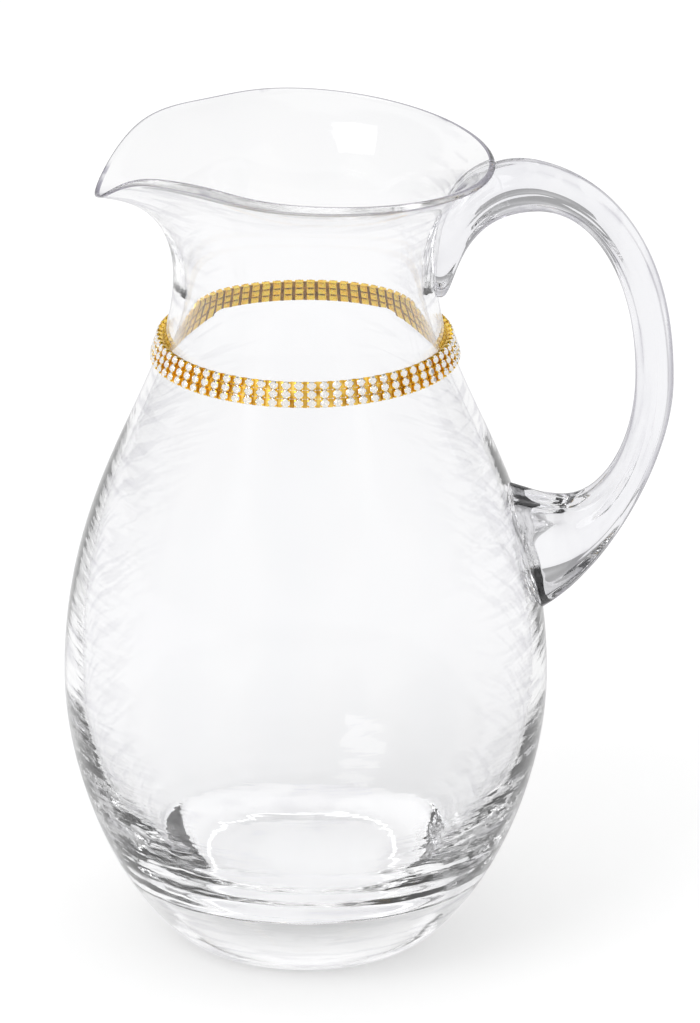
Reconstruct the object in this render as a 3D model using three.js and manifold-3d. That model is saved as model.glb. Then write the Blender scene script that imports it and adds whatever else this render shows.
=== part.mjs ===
// A blown crystal pitcher: a pear-shaped vessel with a pulled spout, an applied
// solid-glass handle, and a band of three-row stone settings round the neck.
// Millimetres, +Z up. The origin is the centre of the flat base, the handle points
// to +X and the spout to -X.
import * as THREE from "three";
import { mergeVertices } from "three/addons/utils/BufferGeometryUtils.js";
import Module from "manifold-3d";

// Vessel, outside
const BASE_RADIUS = 35.2;
const BELLY_RADIUS = 70.3;
const BELLY_HEIGHT = 80;
const NECK_RADIUS = 37.8;
const SHOULDER_HEIGHT = 122.7;
const RIM_RADIUS = 54.3;
const FLARE_HEIGHT = 39.8;

// Vessel, inside
const FLOOR_THICKNESS = 23;
const FLOOR_RADIUS = 44.5;
const BELLY_WALL = 4;
const NECK_WALL = 2.6;
const INSIDE_NECK_DROP = 4;
const RIM_WALL = 2.4;

// Fullness of the profile's curves: how far each one runs along its end tangent
const HEEL_ANGLE = THREE.MathUtils.degToRad(30);
const HEEL_RUN = 21;
const BELLY_RUN_DOWN = 31.6;
const BELLY_RUN_UP = 60.7;
const SHOULDER_RUN = 35.2;
const NECK_RUN = 7.6;
const RIM_RUN = 15.2;
const RIM_ANGLE = THREE.MathUtils.degToRad(24);
const FLOOR_ANGLE = THREE.MathUtils.degToRad(62);
const FLOOR_RUN = 14;
const CAVITY_RUN = 26;
const INSIDE_BELLY_RUN = 64;
const INSIDE_SHOULDER_RUN = 31;
const INSIDE_NECK_RUN = 8;

// Lip: the spout is drawn out and down, the rim beside it is pinched in, and the
// rim dips again where the handle's weight pulled it
const SPOUT_REACH = 6;
const SPOUT_DROP = 15.4;
const SPOUT_HALF_ANGLE = THREE.MathUtils.degToRad(22);
const PINCH_DEPTH = 4.2;
const PINCH_ANGLE = THREE.MathUtils.degToRad(55);
const PINCH_SPREAD = THREE.MathUtils.degToRad(19);
const HANDLE_SIDE_DIP = 6.3;

// Handle, in the plane of the spout
const HANDLE_THICKNESS = 11.7;
const HANDLE_REACH = 36;
const HANDLE_SIDE_RISE = 90;
const CROWN_OUT = 12.2;
const CROWN_RISE = 0.5;
const CROWN_THICKNESS = 15.4;
const CROWN_ANGLE = THREE.MathUtils.degToRad(-13);
const TONGUE_DROP = 5.7;
const TONGUE_DEPTH = 2.3;
const TONGUE_ANGLE = THREE.MathUtils.degToRad(-52);
const ROOT_DROP = 10.5;
const ROOT_ANGLE = THREE.MathUtils.degToRad(45);
const ELBOW_OUTER_RISE = 35.5;
const ELBOW_OUTER_GAP = 19.6;
const ELBOW_INNER_RISE = 54.7;
const ELBOW_INNER_GAP = 15;
const ELBOW_ANGLE = THREE.MathUtils.degToRad(54);
const PAD_TOP_RISE = 62.5;
const PAD_TOP_ANGLE = THREE.MathUtils.degToRad(-14);
const PAD_FOOT_RISE = 16;
const PAD_FOOT_ANGLE = THREE.MathUtils.degToRad(15);
const PAD_DEPTH = 10;

// Fullness of the handle's outer and inner edges, in order from the rim to the belly
const OUTER_RUNS = [14, 11, 22, 42, 18, 18, 12, 13];
const INNER_RUNS = [15.3, 28.9, 16, 30, 20, 10, 5, 15];

// Handle, across the plane of the spout: half-widths
const TONGUE_HALF_WIDTH = 7;
const CROWN_HALF_WIDTH = 8.5;
const SIDE_HALF_WIDTH = 7.6;
const ELBOW_HALF_WIDTH = 10;
const PAD_HALF_WIDTH = 14.5;

// Band of set stones
const BAND_DROP = 21.9;
const BAND_ROWS = 3;
const ROW_PITCH = 2.5;
const BAND_LINKS = 37;
const COLUMNS_PER_LINK = 2;
const CUP_WIDTH = 2.6;
const CUP_HEIGHT = 1.35;
const STONE_RADIUS = 1.15;
const STONE_CROWN = 0.75;
const STONE_SEAT = 0.08;
const STRAP_WIDTH = 2.1;
const STRAP_THICKNESS = 0.45;

// Gap between pieces that meet
const CLEARANCE = 0.3;

// Fineness of the curved surfaces: sides round a section, and steps along each curve
const AROUND_BODY = 48;
const AROUND_HANDLE = 14;
const STONE_FACETS = 8;
const LOWER_STEPS = 7;
const SHOULDER_STEPS = 8;
const FLARE_STEPS = 7;
const BEAD_STEPS = 4;
const INSIDE_FLARE_STEPS = 7;
const INSIDE_SHOULDER_STEPS = 6;
const INSIDE_LOWER_STEPS = 6;
const TONGUE_RINGS = 10;
const CROWN_RINGS = 9;
const SIDE_RINGS = 9;
const PAD_RINGS = 7;
const BISECTIONS = 40;
const MERGE_DISTANCE = 1e-4;

const neckHeight = BELLY_HEIGHT + SHOULDER_HEIGHT;
const rimHeight = neckHeight + FLARE_HEIGHT;

const wasm = await Module();
wasm.setup();

// Solids and booleans

function solidFrom(geometry) {
  const bare = geometry.clone();
  bare.deleteAttribute("normal");
  bare.deleteAttribute("uv");
  const merged = mergeVertices(bare, MERGE_DISTANCE);
  return new wasm.Manifold(
    new wasm.Mesh({
      numProp: 3,
      vertProperties: merged.attributes.position.array,
      triVerts: new Uint32Array(merged.index.array),
    }),
  );
}

function geometryFrom(solid) {
  const mesh = solid.getMesh();
  const geometry = new THREE.BufferGeometry();
  geometry.setAttribute("position", new THREE.BufferAttribute(mesh.vertProperties, 3));
  geometry.setIndex(new THREE.BufferAttribute(mesh.triVerts, 1));
  geometry.computeVertexNormals();
  return geometry;
}

// Vessel profile, as points (radius, height)

const point = (radius, height) => new THREE.Vector2(radius, height);

function along(from, angle, length) {
  return point(from.x + length * Math.cos(angle), from.y + length * Math.sin(angle));
}

const UP = Math.PI / 2;

const base = point(BASE_RADIUS, 0);
const belly = point(BELLY_RADIUS, BELLY_HEIGHT);
const neck = point(NECK_RADIUS, neckHeight);
const rimMiddle = point(RIM_RADIUS - RIM_WALL / 2, rimHeight - RIM_WALL / 2);
const rimUnder = along(rimMiddle, RIM_ANGLE - UP, RIM_WALL / 2);
const rimOver = along(rimMiddle, RIM_ANGLE + UP, RIM_WALL / 2);

const lowerOutside = new THREE.CubicBezierCurve(
  base,
  along(base, HEEL_ANGLE, HEEL_RUN),
  along(belly, -UP, BELLY_RUN_DOWN),
  belly,
);
const shoulderOutside = new THREE.CubicBezierCurve(
  belly,
  along(belly, UP, BELLY_RUN_UP),
  along(neck, -UP, SHOULDER_RUN),
  neck,
);
const flareOutside = new THREE.CubicBezierCurve(
  neck,
  along(neck, UP, NECK_RUN),
  along(rimUnder, RIM_ANGLE, -RIM_RUN),
  rimUnder,
);

const floorEdge = point(FLOOR_RADIUS, FLOOR_THICKNESS);
const bellyInside = point(BELLY_RADIUS - BELLY_WALL, BELLY_HEIGHT);
const neckInside = point(NECK_RADIUS - NECK_WALL, neckHeight - INSIDE_NECK_DROP);

const flareInside = new THREE.CubicBezierCurve(
  rimOver,
  along(rimOver, RIM_ANGLE, -RIM_RUN),
  along(neckInside, UP, INSIDE_NECK_RUN),
  neckInside,
);
const shoulderInside = new THREE.CubicBezierCurve(
  neckInside,
  along(neckInside, -UP, INSIDE_SHOULDER_RUN),
  along(bellyInside, UP, INSIDE_BELLY_RUN),
  bellyInside,
);
const lowerInside = new THREE.CubicBezierCurve(
  bellyInside,
  along(bellyInside, -UP, CAVITY_RUN),
  along(floorEdge, FLOOR_ANGLE, FLOOR_RUN),
  floorEdge,
);

function rimBead() {
  const bead = [];
  for (let i = 1; i < BEAD_STEPS; i++) {
    bead.push(along(rimMiddle, RIM_ANGLE - UP + (Math.PI * i) / BEAD_STEPS, RIM_WALL / 2));
  }
  return bead;
}

function outsidePoints() {
  return [
    ...lowerOutside.getPoints(LOWER_STEPS),
    ...shoulderOutside.getPoints(SHOULDER_STEPS).slice(1),
    ...flareOutside.getPoints(FLARE_STEPS).slice(1),
  ];
}

function insidePoints() {
  return [
    ...flareInside.getPoints(INSIDE_FLARE_STEPS),
    ...shoulderInside.getPoints(INSIDE_SHOULDER_STEPS).slice(1),
    ...lowerInside.getPoints(INSIDE_LOWER_STEPS).slice(1),
  ];
}

// Radius of the vessel's outside at a height up to the neck, by bisection on the curve
function outsideRadius(height) {
  const curve = height < BELLY_HEIGHT ? lowerOutside : shoulderOutside;
  let low = 0;
  let high = 1;
  for (let i = 0; i < BISECTIONS; i++) {
    const middle = (low + high) / 2;
    if (curve.getPoint(middle).y < height) low = middle;
    else high = middle;
  }
  return curve.getPoint(low).x;
}

// The lip's shape: how far the rim moves out and down at an angle round the mouth.
// The pull grows with the square of the height above the neck.
function pullLip(geometry) {
  const position = geometry.attributes.position;
  const bell = (angle, spread) => Math.exp(-((angle / spread) ** 2));
  for (let i = 0; i < position.count; i++) {
    const x = position.getX(i);
    const y = position.getY(i);
    const z = position.getZ(i);
    const radius = Math.hypot(x, y);
    const rise = (z - neckHeight) / FLARE_HEIGHT;
    if (rise <= 0 || radius < CLEARANCE) continue;
    const fromHandle = Math.abs(Math.atan2(y, x));
    const fromSpout = Math.PI - fromHandle;
    const share = Math.min(1, rise) ** 2;
    const spout = bell(fromSpout, SPOUT_HALF_ANGLE);
    const pinch = bell(fromSpout - PINCH_ANGLE, PINCH_SPREAD);
    const dip = ((1 + Math.cos(fromHandle)) / 2) ** 2;
    const out = share * (SPOUT_REACH * spout - PINCH_DEPTH * pinch);
    const down = share * (SPOUT_DROP * spout + HANDLE_SIDE_DIP * dip);
    const grow = (radius + out) / radius;
    position.setXYZ(i, x * grow, y * grow, z - down);
  }
  geometry.computeVertexNormals();
  return geometry;
}

// A revolve about Z of a profile that starts and ends on the axis
function revolve(profile) {
  return new THREE.LatheGeometry(profile, AROUND_BODY).rotateX(UP);
}

function bodyGeometry() {
  const profile = [
    point(0, 0),
    ...outsidePoints(),
    ...rimBead(),
    ...insidePoints(),
    point(0, FLOOR_THICKNESS),
  ];
  return pullLip(revolve(profile));
}

// The space that the vessel's outside and a clearance take up, with the mouth closed
function bodyEnvelope() {
  const outside = outsidePoints();
  const grown = outside.map((p, i) => {
    const before = outside[Math.max(0, i - 1)];
    const after = outside[Math.min(outside.length - 1, i + 1)];
    const tangent = after.clone().sub(before).normalize();
    return point(p.x + CLEARANCE * tangent.y, p.y - CLEARANCE * tangent.x);
  });
  const lip = rimBead().map((p) => point(p.x + CLEARANCE, p.y + CLEARANCE));
  const top = lip[lip.length - 1].y;
  const profile = [point(0, grown[0].y), ...grown, ...lip, point(0, top)];
  return solidFrom(pullLip(revolve(profile)));
}

// Handle: rings between an outer and an inner rail, each rail four curves long and each
// station a place with the direction of travel there. The first span is the tongue
// smeared down the neck, the last is the pad on the belly.

function rail(stations, runs) {
  return stations.slice(1).map((end, i) => {
    const start = stations[i];
    return new THREE.CubicBezierCurve(
      start.at,
      along(start.at, start.angle, runs[2 * i]),
      along(end.at, end.angle, -runs[2 * i + 1]),
      end.at,
    );
  });
}

function handleRails() {
  const handleSideRim = rimHeight - HANDLE_SIDE_DIP;
  const crown = point(RIM_RADIUS + CROWN_OUT, handleSideRim + CROWN_RISE);
  const side = point(BELLY_RADIUS + HANDLE_REACH, BELLY_HEIGHT + HANDLE_SIDE_RISE);
  const onBelly = (rise, gap) => {
    const height = BELLY_HEIGHT + rise;
    return point(outsideRadius(height) + gap, height);
  };
  const outerStations = [
    { at: point(NECK_RADIUS, handleSideRim - ROOT_DROP), angle: ROOT_ANGLE },
    { at: crown, angle: CROWN_ANGLE },
    { at: side, angle: -UP },
    { at: onBelly(ELBOW_OUTER_RISE, ELBOW_OUTER_GAP), angle: ELBOW_ANGLE - Math.PI },
    { at: onBelly(PAD_FOOT_RISE, -PAD_DEPTH), angle: PAD_FOOT_ANGLE - Math.PI },
  ];
  const innerStations = [
    { at: point(NECK_RADIUS - TONGUE_DEPTH, neckHeight - TONGUE_DROP), angle: TONGUE_ANGLE },
    { at: point(crown.x, crown.y - CROWN_THICKNESS), angle: 0 },
    { at: point(side.x - HANDLE_THICKNESS, side.y), angle: -UP },
    { at: onBelly(ELBOW_INNER_RISE, ELBOW_INNER_GAP), angle: Math.PI },
    { at: onBelly(PAD_TOP_RISE, -PAD_DEPTH), angle: PAD_TOP_ANGLE - Math.PI },
  ];
  return {
    outer: rail(outerStations, OUTER_RUNS),
    inner: rail(innerStations, INNER_RUNS),
  };
}

const HANDLE_SPANS = [
  { rings: TONGUE_RINGS, from: TONGUE_HALF_WIDTH, to: CROWN_HALF_WIDTH },
  { rings: CROWN_RINGS, from: CROWN_HALF_WIDTH, to: SIDE_HALF_WIDTH },
  { rings: SIDE_RINGS, from: SIDE_HALF_WIDTH, to: ELBOW_HALF_WIDTH },
  { rings: PAD_RINGS, from: ELBOW_HALF_WIDTH, to: PAD_HALF_WIDTH },
];

function handleRings() {
  const { outer, inner } = handleRails();
  const rings = [];
  HANDLE_SPANS.forEach((span, i) => {
    for (let k = i ? 1 : 0; k <= span.rings; k++) {
      const t = k / span.rings;
      const far = outer[i].getPoint(t);
      const near = inner[i].getPoint(t);
      const half = THREE.MathUtils.lerp(span.from, span.to, THREE.MathUtils.smoothstep(t, 0, 1));
      rings.push({ far, near, half });
    }
  });
  return rings;
}

// A closed loft through rings of equal point counts, with a fan over each end
function loft(rings) {
  const count = rings[0].length;
  const vertices = rings.flat();
  const index = [];
  for (let i = 0; i + 1 < rings.length; i++) {
    for (let k = 0; k < count; k++) {
      const a = i * count + k;
      const b = i * count + ((k + 1) % count);
      index.push(a, a + count, b, b, a + count, b + count);
    }
  }
  const last = (rings.length - 1) * count;
  for (let k = 1; k + 1 < count; k++) {
    index.push(0, k, k + 1);
    index.push(last, last + k + 1, last + k);
  }
  const geometry = new THREE.BufferGeometry().setFromPoints(vertices);
  geometry.setIndex(index);
  return geometry;
}

function handleGeometry() {
  const rings = handleRings().map(({ far, near, half }) => {
    const ring = [];
    for (let k = 0; k < AROUND_HANDLE; k++) {
      const angle = (2 * Math.PI * k) / AROUND_HANDLE;
      const share = (1 + Math.cos(angle)) / 2;
      const inPlane = near.clone().lerp(far, share);
      ring.push(new THREE.Vector3(inPlane.x, half * Math.sin(angle), inPlane.y));
    }
    return ring;
  });
  return geometryFrom(solidFrom(loft(rings)).subtract(bodyEnvelope()));
}

// Band: each link is two columns of three cups with their stones, on flexible straps.
// A column is laid out flat, +X out of the glass, +Y round the neck, +Z up the slope.

const bandHeight = neckHeight - BAND_DROP;
const bandRadius = outsideRadius(bandHeight);
const bandSlope = Math.atan2(
  outsideRadius(bandHeight - ROW_PITCH) - outsideRadius(bandHeight + ROW_PITCH),
  2 * ROW_PITCH,
);
const columnAngle = (2 * Math.PI) / (BAND_LINKS * COLUMNS_PER_LINK);
const rowOffset = (row) => (row - (BAND_ROWS - 1) / 2) * ROW_PITCH;

function columnSolid() {
  const bar = new THREE.BoxGeometry(CUP_HEIGHT, CUP_WIDTH, ROW_PITCH * BAND_ROWS);
  bar.translate(CLEARANCE + CUP_HEIGHT / 2, 0, 0);
  let column = solidFrom(bar);
  for (let row = 0; row < BAND_ROWS; row++) {
    const stone = new THREE.ConeGeometry(STONE_RADIUS, STONE_CROWN, STONE_FACETS);
    stone.rotateZ(-UP);
    stone.translate(CLEARANCE + CUP_HEIGHT - STONE_SEAT + STONE_CROWN / 2, 0, rowOffset(row));
    column = column.add(solidFrom(stone));
  }
  return column;
}

// Straps run from a column's middle most of the way to the next column
function strapSolid(row, length) {
  const strap = new THREE.BoxGeometry(STRAP_THICKNESS, length, STRAP_WIDTH);
  strap.translate(CLEARANCE + STRAP_THICKNESS, length / 2, rowOffset(row));
  return solidFrom(strap);
}

function placeColumn(solid, column) {
  const onNeck = new THREE.Matrix4()
    .makeRotationZ(column * columnAngle)
    .multiply(new THREE.Matrix4().makeTranslation(bandRadius, 0, bandHeight))
    .multiply(new THREE.Matrix4().makeRotationY(-bandSlope));
  return solid.transform(onNeck.elements);
}

function linkGeometry() {
  const pitch = columnAngle * bandRadius;
  const toNext = pitch - CUP_WIDTH / 2 - CLEARANCE;
  let link = placeColumn(columnSolid(), 0);
  for (let column = 0; column < COLUMNS_PER_LINK; column++) {
    if (column) link = link.add(placeColumn(columnSolid(), column));
    const isLast = column === COLUMNS_PER_LINK - 1;
    for (let row = 0; row < BAND_ROWS; row++) {
      link = link.add(placeColumn(strapSolid(row, isLast ? toNext : pitch), column));
    }
  }
  return geometryFrom(link);
}

// Assembly

function crystal() {
  return new THREE.MeshStandardMaterial({
    color: 0xf4f6f8,
    roughness: 0.02,
    metalness: 0,
    transparent: true,
    opacity: 0.35,
  });
}

function gilt() {
  return new THREE.MeshStandardMaterial({ color: 0xd9a32c, roughness: 0.25, metalness: 1 });
}

function named(name, geometry, material) {
  const mesh = new THREE.Mesh(geometry, material);
  mesh.name = name;
  return mesh;
}

const pitcher = new THREE.Group();
pitcher.name = "pitcher";
pitcher.add(named("pitcher_body", bodyGeometry(), crystal()));
pitcher.add(named("handle", handleGeometry(), crystal()));

const band = new THREE.Group();
band.name = "stone_band";
const linkShape = linkGeometry();
for (let i = 0; i < BAND_LINKS; i++) {
  const number = String(i + 1).padStart(2, "0");
  const link = named(`band_link_${number}`, linkShape, gilt());
  link.rotation.z = i * COLUMNS_PER_LINK * columnAngle;
  band.add(link);
}
pitcher.add(band);

export default pitcher;
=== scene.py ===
"""Looks of a blown crystal pitcher with a gilt, stone-set band round its neck."""

import math

import bmesh
import bpy
import numpy as np
from mathutils import Matrix, Vector


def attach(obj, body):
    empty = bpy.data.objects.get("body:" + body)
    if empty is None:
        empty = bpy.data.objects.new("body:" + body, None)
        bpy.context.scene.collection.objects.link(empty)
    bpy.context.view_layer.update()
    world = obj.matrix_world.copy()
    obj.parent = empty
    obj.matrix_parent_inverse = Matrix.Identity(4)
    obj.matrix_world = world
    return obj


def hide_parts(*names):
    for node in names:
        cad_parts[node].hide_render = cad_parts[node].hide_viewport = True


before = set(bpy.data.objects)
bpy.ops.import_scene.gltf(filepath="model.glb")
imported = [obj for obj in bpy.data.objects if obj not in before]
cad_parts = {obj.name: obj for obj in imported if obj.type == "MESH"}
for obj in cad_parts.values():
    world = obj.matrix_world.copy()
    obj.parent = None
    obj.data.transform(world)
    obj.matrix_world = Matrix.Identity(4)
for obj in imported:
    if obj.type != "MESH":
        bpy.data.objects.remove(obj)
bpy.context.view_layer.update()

MM = 0.001

# Vessel, outside, in millimetres
BASE_RADIUS = 35.2
BELLY_RADIUS = 70.3
BELLY_HEIGHT = 80
NECK_RADIUS = 37.8
SHOULDER_HEIGHT = 122.7
RIM_RADIUS = 54.3
FLARE_HEIGHT = 39.8
NECK_HEIGHT = BELLY_HEIGHT + SHOULDER_HEIGHT
RIM_HEIGHT = NECK_HEIGHT + FLARE_HEIGHT

# Vessel, inside
FLOOR_THICKNESS = 23
FLOOR_RADIUS = 44.5
BELLY_WALL = 4
NECK_WALL = 2.6
INSIDE_NECK_DROP = 4
RIM_WALL = 2.4

# Fullness of the profile's curves: how far each one runs along its end tangent
HEEL_ANGLE = math.radians(30)
HEEL_RUN = 21
BELLY_RUN_DOWN = 31.6
BELLY_RUN_UP = 60.7
SHOULDER_RUN = 35.2
NECK_RUN = 7.6
RIM_RUN = 15.2
RIM_ANGLE = math.radians(24)
FLOOR_ANGLE = math.radians(62)
FLOOR_RUN = 14
CAVITY_RUN = 26
INSIDE_BELLY_RUN = 64
INSIDE_SHOULDER_RUN = 31
INSIDE_NECK_RUN = 8
UP = math.pi / 2

# Foot: the polished edge of the base, and the shallow ground hollow inside it
FOOT_ROUNDING = 2.2
CREASE = 0.6
FLOOR_BORDER = 5 * CREASE
PUNT_RADIUS = 31
PUNT_DEPTH = 1.0

# Lip
SPOUT_REACH = 6
SPOUT_DROP = 15.4
SPOUT_HALF_ANGLE = math.radians(22)
PINCH_DEPTH = 4.2
PINCH_ANGLE = math.radians(55)
PINCH_SPREAD = math.radians(19)
HANDLE_SIDE_DIP = 6.3

# Handle, in the plane of the spout
HANDLE_THICKNESS = 11.7
HANDLE_REACH = 36
HANDLE_SIDE_RISE = 90
CROWN_OUT = 12.2
CROWN_RISE = 0.5
CROWN_THICKNESS = 15.4
CROWN_ANGLE = math.radians(-13)
TONGUE_DROP = 5.7
TONGUE_DEPTH = 2.3
TONGUE_ANGLE = math.radians(-52)
ROOT_DROP = 10.5
ROOT_ANGLE = math.radians(45)
ELBOW_OUTER_RISE = 35.5
ELBOW_OUTER_GAP = 19.6
ELBOW_INNER_RISE = 54.7
ELBOW_INNER_GAP = 15
ELBOW_ANGLE = math.radians(54)
PAD_TOP_RISE = 62.5
PAD_TOP_ANGLE = math.radians(-14)
PAD_FOOT_RISE = 16
PAD_FOOT_ANGLE = math.radians(15)
PAD_DEPTH = 10
OUTER_RUNS = [14, 11, 22, 42, 18, 18, 12, 13]
INNER_RUNS = [15.3, 28.9, 16, 30, 20, 10, 5, 15]
HALF_WIDTHS = [7, 8.5, 7.6, 10, 14.5]

# Band of set stones
BAND_DROP = 21.9
BAND_ROWS = 3
ROW_PITCH = 2.5
BAND_LINKS = 37
COLUMNS = 2 * BAND_LINKS
CUP_WIDTH = 2.6
CUP_TALL = 2.2
CUP_HEIGHT = 1.35
CUP_WALL = 0.22
CUP_FLOOR = 0.3
CUP_ROUNDING = 0.35

# A cup's section from the middle of its dished back, round its edge and down inside: rise and inset
CUP_SECTION = [
    (0.14, 0.65),
    (0, 0.2),
    (0.14, 0),
    (CUP_HEIGHT - 0.06, 0),
    (CUP_HEIGHT, 0.06),
    (CUP_HEIGHT, CUP_WALL - 0.04),
    (CUP_HEIGHT - 0.05, CUP_WALL),
    (CUP_FLOOR, CUP_WALL + 0.1),
]

# A stone's cut: radii, heights from its girdle, and its shoulder as shares of the crown's height and width
STONE_RADIUS = 1.23
STONE_WIDENING = 1.09
STONE_GIRDLE = 1.46
STONE_CROWN = 0.5
STONE_TABLE = 0.7
STONE_SEAT = 0.82
STONE_PAVILION = 0.7
STONE_FACETS = 8
STONE_SHOULDER_RISE = 0.6
STONE_SHOULDER_REACH = 0.5
GIRDLE_RISE = 0.05
GIRDLE_DROP = 0.03
SEAT_DROP = 0.08

# A prong, from inside the cup's wall to its tip: rise past the cup's edge, reach out, share of the width
PRONG_WIDTH = 0.42
PRONG_INSET = 0.26
PRONG_PATH = [(-0.6, 0, 1), (0.02, 0, 1), (0.2, -0.1, 0.95), (0.3, -0.3, 0.8), (0.3, -0.3, 0.5)]
PRONG_SECTION = [(0.13, 1), (0.13, -1), (-0.1, -1), (-0.1, 1)]
PRONG_FOLD = -0.2
PRONG_LIFT = 0.8

# Straps between the columns and risers between the rows
STRAP_WIDTH = 2.44
STRAP_THICKNESS = 0.45
RISER_WIDTH = 1.8
STRAP_OVERLAP = 0.1
CLEARANCE = 0.3

# Fineness of the curved surfaces
AROUND_BODY = 192
AROUND_HANDLE = 56
HANDLE_RINGS = 30
BEAD_STEPS = 12
TRACE_STEPS = 400
HEEL_STRIDE = 8
SHOULDER_STEPS = 52
FLARE_STEPS = 34
INSIDE_FLARE_STEPS = 30
INSIDE_SHOULDER_STEPS = 48
CAVITY_STEPS = 44
FLOOR_RINGS = 11
PUNT_RINGS = 12
FOOT_RINGS = 4
ROUNDING_STEPS = 8
ROUNDING_GAP = 0.5
CUP_CORNER_POINTS = 4

# Distances that count as none: between vertices that are one, and from the axis
SEAM = 0.002
NEAR_AXIS = 0.3

# Hand-blown unevenness of the inside: waves round the wall, each with its number round the axis, depth,
# phase and lean, and the rings that the shaping left above the floor
WAVES = [(5, 0.10, 0.7, 0.021), (9, 0.07, 2.1, -0.034), (14, 0.05, 4.0, 0.05), (23, 0.025, 1.1, 0.07)]
RINGS_DEPTH = 0.16
RINGS_PITCH = 5.5
RINGS_TOP = 46
RINGS_TURNS = 2

# Lengthwise hollows of the drawn handle: number round the bar, depth as a share of its width, phase, lean
DRAW_MARKS = [(3, 0.02, 0.5, 1.1), (7, 0.032, 2.0, -1.7), (11, 0.024, 4.4, 2.6)]

# Camera, fitted to the photograph's outline: in millimetres, with its focal length in the photograph's pixels
PHOTO_HEIGHT = 1023
CAMERA_DISTANCE = 2508
CAMERA_ELEVATION = math.radians(21.12)
CAMERA_PIVOT = (0, 0, 120)
CAMERA_AIM = (12.9, 3.2, 128.3)
FOCAL_PIXELS = 8658
SENSOR = 36

# Vessel


def point(radius, height):
    return np.array([radius, height], float)


def along(start, angle, length):
    return start + length * np.array([math.cos(angle), math.sin(angle)])


def bezier(a, b, c, d, steps):
    t = np.linspace(0, 1, steps + 1)[:, None]
    s = 1 - t
    return s**3 * a + 3 * s * s * t * b + 3 * s * t * t * c + t**3 * d


base = point(BASE_RADIUS, 0)
belly = point(BELLY_RADIUS, BELLY_HEIGHT)
neck = point(NECK_RADIUS, NECK_HEIGHT)
rim_middle = point(RIM_RADIUS - RIM_WALL / 2, RIM_HEIGHT - RIM_WALL / 2)
rim_under = along(rim_middle, RIM_ANGLE - UP, RIM_WALL / 2)
rim_over = along(rim_middle, RIM_ANGLE + UP, RIM_WALL / 2)
floor_edge = point(FLOOR_RADIUS, FLOOR_THICKNESS)
belly_inside = point(BELLY_RADIUS - BELLY_WALL, BELLY_HEIGHT)
neck_inside = point(NECK_RADIUS - NECK_WALL, NECK_HEIGHT - INSIDE_NECK_DROP)


def lower_outside(steps):
    heel = along(base, HEEL_ANGLE, HEEL_RUN)
    return bezier(base, heel, along(belly, -UP, BELLY_RUN_DOWN), belly, steps)


def shoulder_outside(steps):
    return bezier(belly, along(belly, UP, BELLY_RUN_UP), along(neck, -UP, SHOULDER_RUN), neck, steps)


def flare_outside(steps):
    return bezier(neck, along(neck, UP, NECK_RUN), along(rim_under, RIM_ANGLE, -RIM_RUN), rim_under, steps)


def outside_radius(height):
    curve = lower_outside(TRACE_STEPS) if height < BELLY_HEIGHT else shoulder_outside(TRACE_STEPS)
    return float(np.interp(height, curve[:, 1], curve[:, 0]))


def foot_profile():
    """From the middle of the ground hollow over the polished edge of the base and up to the belly."""
    radii = np.linspace(0, PUNT_RADIUS, PUNT_RINGS)
    hollow = [point(r, PUNT_DEPTH * (1 - (r / PUNT_RADIUS) ** 2)) for r in radii]
    inner = along(base, math.pi, FOOT_ROUNDING)
    outer = lower_outside(TRACE_STEPS)
    reach = np.linalg.norm(outer - base, axis=1)
    outer_end = outer[np.searchsorted(reach, FOOT_ROUNDING)]
    flat = [point(r, 0) for r in np.linspace(PUNT_RADIUS, inner[0], FOOT_RINGS)[1:-1]]
    t = np.linspace(0, 1, ROUNDING_STEPS + 1)[:, None]
    rounding = (1 - t) ** 2 * inner + 2 * t * (1 - t) * base + t * t * outer_end
    heel = outer[reach > FOOT_ROUNDING + ROUNDING_GAP][::HEEL_STRIDE]
    return [*hollow, *flat, *rounding, *heel[:-1]]


def skin_profile():
    """From the middle of the base up the outside and over the rim's bead."""
    turns = [RIM_ANGLE - UP + math.pi * i / BEAD_STEPS for i in range(1, BEAD_STEPS)]
    bead = [along(rim_middle, turn, RIM_WALL / 2) for turn in turns]
    upper = [*shoulder_outside(SHOULDER_STEPS), *flare_outside(FLARE_STEPS)[1:]]
    return np.array([*foot_profile(), *upper, *bead, rim_over])


def inside_profile():
    """From the rim down to the middle of the floor."""
    flare = bezier(rim_over, along(rim_over, RIM_ANGLE, -RIM_RUN), along(neck_inside, UP, INSIDE_NECK_RUN),
                   neck_inside, INSIDE_FLARE_STEPS)
    shoulder = bezier(neck_inside, along(neck_inside, -UP, INSIDE_SHOULDER_RUN),
                      along(belly_inside, UP, INSIDE_BELLY_RUN), belly_inside, INSIDE_SHOULDER_STEPS)
    lower = bezier(belly_inside, along(belly_inside, -UP, CAVITY_RUN),
                   along(floor_edge, FLOOR_ANGLE, FLOOR_RUN), floor_edge, CAVITY_STEPS)
    radii = [FLOOR_RADIUS - CREASE, *np.linspace(FLOOR_RADIUS - FLOOR_BORDER, 0, FLOOR_RINGS)]
    floor = [point(r, FLOOR_THICKNESS) for r in radii]
    return np.array([*flare, *shoulder[1:], *lower[1:], *floor])


def ring_faces(rows, count, flip=False):
    """Quads between rows of points, each row a closed ring of the same count."""
    faces = []
    for i in range(rows - 1):
        for k in range(count):
            a = i * count + k
            b = i * count + (k + 1) % count
            faces.append((a, a + count, b + count, b) if flip else (a, b, b + count, a + count))
    return faces


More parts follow.
